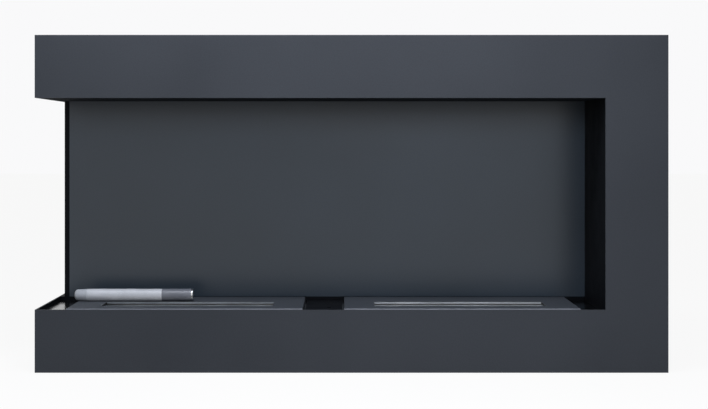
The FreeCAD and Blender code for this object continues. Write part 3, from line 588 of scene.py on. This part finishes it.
for side in ("left", "right"):
    low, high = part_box(f"fuel_wool_{side}")
    pad = addPiece(ringMesh(f"fibre_block_{side}", woolBlock(low, high), sharp=180), wool,
                   f"burner_{side}", f"fuel_wool_{side}")
print("fibre blocks made")

# Screws: a low button head with a hexagon socket. Rings follow a circle outside and a hexagon inside
# the socket: hexagon radius = flat / cos(turn folded into one sixth).
screwLook = {"radius": 4.2 * mm, "height": 1.6 * mm, "flat": 1.5 * mm, "deep": 1.0 * mm,
             "brim": 1.45, "bevel": 1.06, "bevelDeep": 0.08 * mm, "domeRows": 6, "columns": 24}
screwRow = {"inset": 9 * mm, "end": 60 * mm, "along": 8, "deep": 3}


# one head on a level face, built at the origin: up is 1 on a top and -1 on an underside
def screwHead(up):
    radius, height, flat, deep = (screwLook[k] for k in ("radius", "height", "flat", "deep"))
    turn = np.linspace(0, 2 * np.pi, screwLook["columns"], endpoint=False)
    hexagon = flat / np.cos((turn + np.pi / 6) % (np.pi / 3) - np.pi / 6)
    circle = np.ones_like(turn)
    dome = np.linspace(0, 1, screwLook["domeRows"] + 1)[1:]
    domeRims = (radius - (radius - screwLook["brim"] * flat) * dome)[:, None] * circle
    rims = np.concatenate([[0 * circle, radius * circle], domeRims,
                           [hexagon * screwLook["bevel"], hexagon, hexagon, 0 * circle]])
    levels = np.concatenate([[0, 0], height * np.sin(dome * np.pi / 2),
                             [height, height - screwLook["bevelDeep"], height - deep, height - deep]])
    return np.stack([rims * np.cos(turn), up * rims * np.sin(turn), up * levels[:, None] * circle], -1)


# a row along the rear edge and a short row along the right edge of a level panel
def panelPlaces(low, high, z):
    inset, end = screwRow["inset"], screwRow["end"]
    rowX = np.linspace(low.x + end, high.x - end, screwRow["along"])
    rear = np.stack([rowX, np.full_like(rowX, high.y - inset), np.full_like(rowX, z)], -1)
    rowY = np.linspace(low.y + end, high.y - end, screwRow["deep"])
    right = np.stack([np.full_like(rowY, high.x - inset), rowY, np.full_like(rowY, z)], -1)
    return np.concatenate([rear, right])


topLow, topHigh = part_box("top_panel")
bottomLow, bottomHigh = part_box("bottom_panel")
addPiece(ringMesh("top_screws", screwHead(1), panelPlaces(topLow, topHigh, topHigh.z)),
         screwBlack, "case")
addPiece(ringMesh("bottom_screws", screwHead(-1), panelPlaces(bottomLow, bottomHigh, bottomLow.z)),
         screwBlack, "case")
print("screws set")

# Cover sheet on the tray between the burners: a ray turned about the finger hole meets the hole's oval and
# the sheet's straight edges, and the section from outer foot over the top to the hole's foot closes on itself.
coverLook = {"sideGap": 4 * mm, "frontGap": 3 * mm, "thick": 1.2 * mm, "soften": 0.4 * mm,
             "hole": (4.5 * mm, 8 * mm), "holePlace": (0.64, 0.42), "holeBrim": 1.08, "columns": 64}
leastStep = 1e-9  # keeps a ray along an axis from dividing by nothing


def coverSheet(low, high):
    thick, soften = coverLook["thick"], coverLook["soften"]
    middle = low[:2] + (high - low)[:2] * coverLook["holePlace"]
    cornerX = np.array([low[0], high[0], high[0], low[0]]) - middle[0]
    cornerY = np.array([low[1], low[1], high[1], high[1]]) - middle[1]
    turn = np.sort(np.concatenate([np.linspace(0, 2 * np.pi, coverLook["columns"], endpoint=False),
                                   np.arctan2(cornerY, cornerX) % (2 * np.pi)]))
    way = np.stack([np.cos(turn), np.sin(turn)], -1)
    room = np.where(way > 0, high[:2] - middle, middle - low[:2])
    outer = way * (room / np.maximum(np.abs(way), leastStep)).min(1, keepdims=True)
    inner = way * coverLook["hole"]
    shrink = 1 - soften / np.abs(outer).max(1, keepdims=True)
    rows = [(outer, 0), (outer, thick - soften), (outer * shrink, thick),
            (inner * coverLook["holeBrim"], thick), (inner, thick - soften), (inner, 0)]
    return np.stack([np.column_stack([flat + middle, np.full(len(turn), low[2] + up)])
                     for flat, up in rows])


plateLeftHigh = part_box("burner_plate_left")[1]
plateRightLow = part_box("burner_plate_right")[0]
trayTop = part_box("floor_tray")[1].z
edgeFront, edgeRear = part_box("tray_edge_front")[1].y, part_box("tray_edge_rear")[0].y
sideGap, frontGap = coverLook["sideGap"], coverLook["frontGap"]
coverLow = np.array([plateLeftHigh.x + sideGap, edgeFront + frontGap, trayTop])
coverHigh = np.array([plateRightLow.x - sideGap, edgeRear - frontGap, trayTop])
addPiece(loopMesh("tray_cover_sheet", coverSheet(coverLow, coverHigh)), wallEnamel, "case")
print("cover sheet laid")

# Rivets: flat domes on the back, along the lines of the folds behind it
rivetLook = {"radius": 3.6 * mm, "height": 0.25 * mm, "rows": 6, "columns": 20,
             "end": 50 * mm, "along": 9, "aboveFold": 8 * mm}


# a shallow cap: radius r cos(lift), height h sin(lift), turned about an axis that points to the wall
def rivetHead():
    turn = np.linspace(0, 2 * np.pi, rivetLook["columns"], endpoint=False)
    lift = np.linspace(0, np.pi / 2, rivetLook["rows"])[:, None]
    reach = np.concatenate([np.zeros((1, 1)), np.cos(lift)]) * rivetLook["radius"]
    rise = np.concatenate([np.zeros((1, 1)), np.sin(lift)]) * rivetLook["height"] + 0 * turn
    return np.stack([-reach * np.cos(turn), rise, reach * np.sin(turn)], -1)


rearLow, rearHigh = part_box("rear_panel")
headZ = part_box("ceiling_panel")[0].z
rivetX = np.linspace(rearLow.x + rivetLook["end"], rearHigh.x - rivetLook["end"], rivetLook["along"])
rivetRows = [np.stack([rivetX, np.full_like(rivetX, rearHigh.y), np.full_like(rivetX, z)], -1)
             for z in (headZ + rivetLook["aboveFold"], trayTop + rivetLook["aboveFold"])]
addPiece(ringMesh("back_rivets", rivetHead(), np.concatenate(rivetRows), sharp=60),
         zinc, "case")
print("rivets set")
